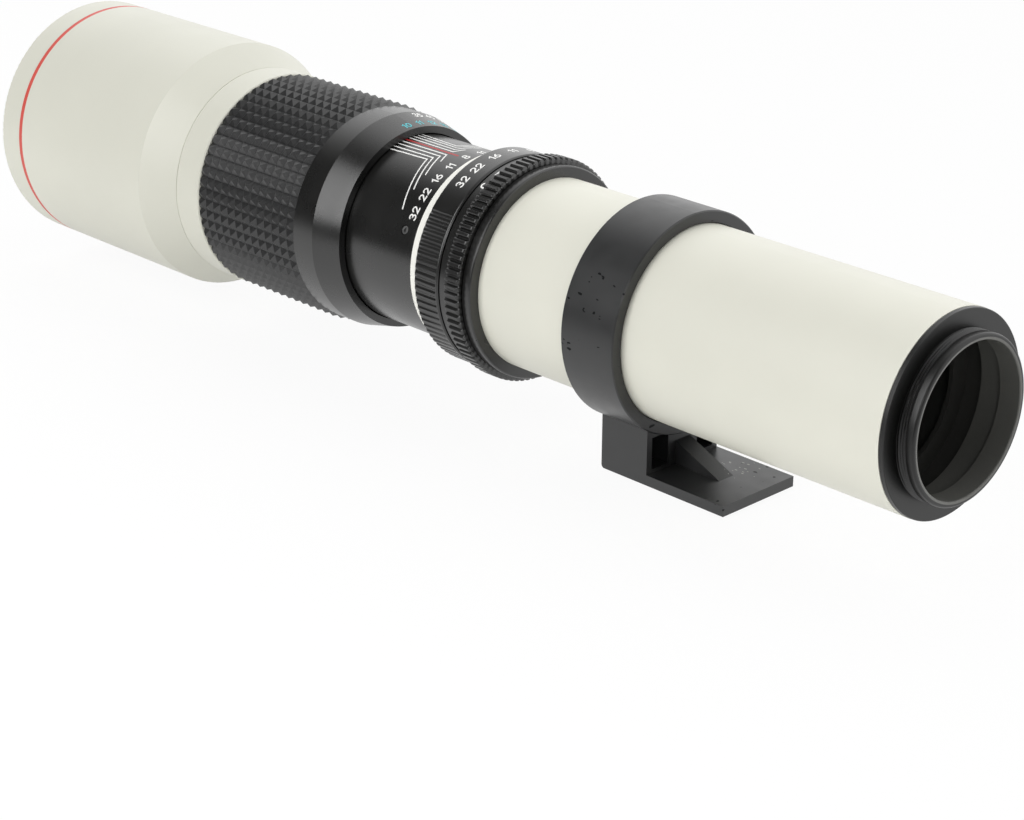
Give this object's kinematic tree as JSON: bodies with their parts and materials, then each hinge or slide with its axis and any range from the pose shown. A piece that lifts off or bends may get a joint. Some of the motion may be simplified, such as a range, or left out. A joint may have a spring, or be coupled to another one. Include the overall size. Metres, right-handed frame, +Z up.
{
  "type": "telephoto lens",
  "caption": "Long telephoto lens with a white tube and hood, a rubber focus grip, preset and aperture rings over a working iris, and a turning tripod collar with a foot.",
  "frame": {"origin": "centre of the rear flange's face, where an adapter seats, on the optical axis", "axes": "+X along the optical axis towards the camera, +Z up, away from the tripod foot, +Y to the right seen from behind the camera"},
  "size_m": [0.334, 0.0803, 0.0768],
  "materials": {
    "white_paint": "smooth ivory-white paint, slightly glossy",
    "cream_paint": "smooth cream paint",
    "black_anodised": "satin black anodised",
    "black_enamel": "satin black enamel on a casting",
    "matt_black": "dead black inside finish",
    "rubber_grip": "moulded black rubber, rows of small pyramids",
    "coated_glass": "polished, coated",
    "steel": "turned steel",
    "blade_steel": "blackened spring steel",
    "brass": "turned brass",
    "collar_cloth": "thin black felt"
  },
  "bodies": {
    "barrel": {"rear_mount_ring": "black_anodised", "rear_tube": "white_paint", "rear_baffle": "matt_black", "rear_cell": "matt_black", "rear_glass_front": "coated_glass", "rear_glass_back": "coated_glass", "rear_retainer": "matt_black", "shoulder_ring": "black_anodised", "iris_housing": "matt_black", "iris_base_plate": "matt_black", "iris_clip": "steel", "spacer_ring": "cream_paint", "scale_barrel": "black_anodised", "scale_screws": "steel", "focus_keys": "brass", "click_ball": "steel", "click_spring": "steel"},
    "lens_cell": {"lens_cell_sleeve": "matt_black", "objective_crown": "coated_glass", "objective_flint": "coated_glass", "objective_retainer": "matt_black"},
    "focus_barrel": {"front_barrel": "white_paint", "hood_liner": "matt_black", "focus_sleeve": "black_anodised", "focus_grip": "rubber_grip"},
    "preset": {"preset_ring": "black_anodised"},
    "aperture": {"aperture_ring": "black_anodised", "iris_cam_ring": "brass", "aperture_link_screw": "steel"},
    "collar": {"tripod_collar": "black_enamel", "collar_lining": "collar_cloth", "tripod_bush": "brass", "lock_pad": "brass"},
    "collar_lock": {"lock_screw": "black_anodised"},
    "blade_01": {"iris_blade_01": "blade_steel"},
    "blade_02": {"iris_blade_02": "blade_steel"},
    "blade_03": {"iris_blade_03": "blade_steel"},
    "blade_04": {"iris_blade_04": "blade_steel"},
    "blade_05": {"iris_blade_05": "blade_steel"},
    "blade_06": {"iris_blade_06": "blade_steel"},
    "blade_07": {"iris_blade_07": "blade_steel"},
    "blade_08": {"iris_blade_08": "blade_steel"},
    "blade_09": {"iris_blade_09": "blade_steel"},
    "blade_10": {"iris_blade_10": "blade_steel"}
  },
  "joints": [
    {"name": "focus_slide", "type": "slide", "parent": "barrel", "child": "lens_cell", "axis": [1, 0, 0], "range_m": [0, 0.0235]},
    {"name": "focus_turn", "type": "hinge", "parent": "lens_cell", "child": "focus_barrel", "pos_m": [-0.2, 0, 0], "axis": [1, 0, 0], "range_deg": [0, 270]},
    {"name": "preset_turn", "type": "hinge", "parent": "barrel", "child": "preset", "pos_m": [-0.14695, 0, 0], "axis": [1, 0, 0], "range_deg": [-22, 30]},
    {"name": "aperture_turn", "type": "hinge", "parent": "barrel", "child": "aperture", "pos_m": [-0.13815, 0, 0], "axis": [1, 0, 0], "range_deg": [0, 45]},
    {"name": "collar_turn", "type": "hinge", "parent": "barrel", "child": "collar", "pos_m": [-0.08922, 0, 0], "axis": [1, 0, 0], "continuous": true},
    {"name": "lock_turn", "type": "hinge", "parent": "collar", "child": "collar_lock", "pos_m": [-0.08922, 0.0274, 0], "axis": [0, 1, 0], "range_deg": [0, 360]},
    {"name": "blade_01_turn", "type": "hinge", "parent": "barrel", "child": "blade_01", "pos_m": [-0.1406, 0, 0.0229], "axis": [1, 0, 0], "range_deg": [0, 30.4]},
    {"name": "blade_02_turn", "type": "hinge", "parent": "barrel", "child": "blade_02", "pos_m": [-0.1406, -0.01346, 0.01853], "axis": [1, 0, 0], "range_deg": [0, 30.4]},
    {"name": "blade_03_turn", "type": "hinge", "parent": "barrel", "child": "blade_03", "pos_m": [-0.1406, -0.02178, 0.00708], "axis": [1, 0, 0], "range_deg": [0, 30.4]},
    {"name": "blade_04_turn", "type": "hinge", "parent": "barrel", "child": "blade_04", "pos_m": [-0.1406, -0.02178, -0.00708], "axis": [1, 0, 0], "range_deg": [0, 30.4]},
    {"name": "blade_05_turn", "type": "hinge", "parent": "barrel", "child": "blade_05", "pos_m": [-0.1406, -0.01346, -0.01853], "axis": [1, 0, 0], "range_deg": [0, 30.4]},
    {"name": "blade_06_turn", "type": "hinge", "parent": "barrel", "child": "blade_06", "pos_m": [-0.1406, 0, -0.0229], "axis": [1, 0, 0], "range_deg": [0, 30.4]},
    {"name": "blade_07_turn", "type": "hinge", "parent": "barrel", "child": "blade_07", "pos_m": [-0.1406, 0.01346, -0.01853], "axis": [1, 0, 0], "range_deg": [0, 30.4]},
    {"name": "blade_08_turn", "type": "hinge", "parent": "barrel", "child": "blade_08", "pos_m": [-0.1406, 0.02178, -0.00708], "axis": [1, 0, 0], "range_deg": [0, 30.4]},
    {"name": "blade_09_turn", "type": "hinge", "parent": "barrel", "child": "blade_09", "pos_m": [-0.1406, 0.02178, 0.00708], "axis": [1, 0, 0], "range_deg": [0, 30.4]},
    {"name": "blade_10_turn", "type": "hinge", "parent": "barrel", "child": "blade_10", "pos_m": [-0.1406, 0.01346, 0.01853], "axis": [1, 0, 0], "range_deg": [0, 30.4]}
  ],
  "couplings": [
    {"joint": "focus_turn", "follows": "focus_slide", "rad_per_m": 200.5},
    {"joint": "blade_01_turn", "follows": "aperture_turn", "ratio": 0.6755},
    {"joint": "blade_02_turn", "follows": "aperture_turn", "ratio": 0.6755},
    {"joint": "blade_03_turn", "follows": "aperture_turn", "ratio": 0.6755},
    {"joint": "blade_04_turn", "follows": "aperture_turn", "ratio": 0.6755},
    {"joint": "blade_05_turn", "follows": "aperture_turn", "ratio": 0.6755},
    {"joint": "blade_06_turn", "follows": "aperture_turn", "ratio": 0.6755},
    {"joint": "blade_07_turn", "follows": "aperture_turn", "ratio": 0.6755},
    {"joint": "blade_08_turn", "follows": "aperture_turn", "ratio": 0.6755},
    {"joint": "blade_09_turn", "follows": "aperture_turn", "ratio": 0.6755},
    {"joint": "blade_10_turn", "follows": "aperture_turn", "ratio": 0.6755}
  ]
}
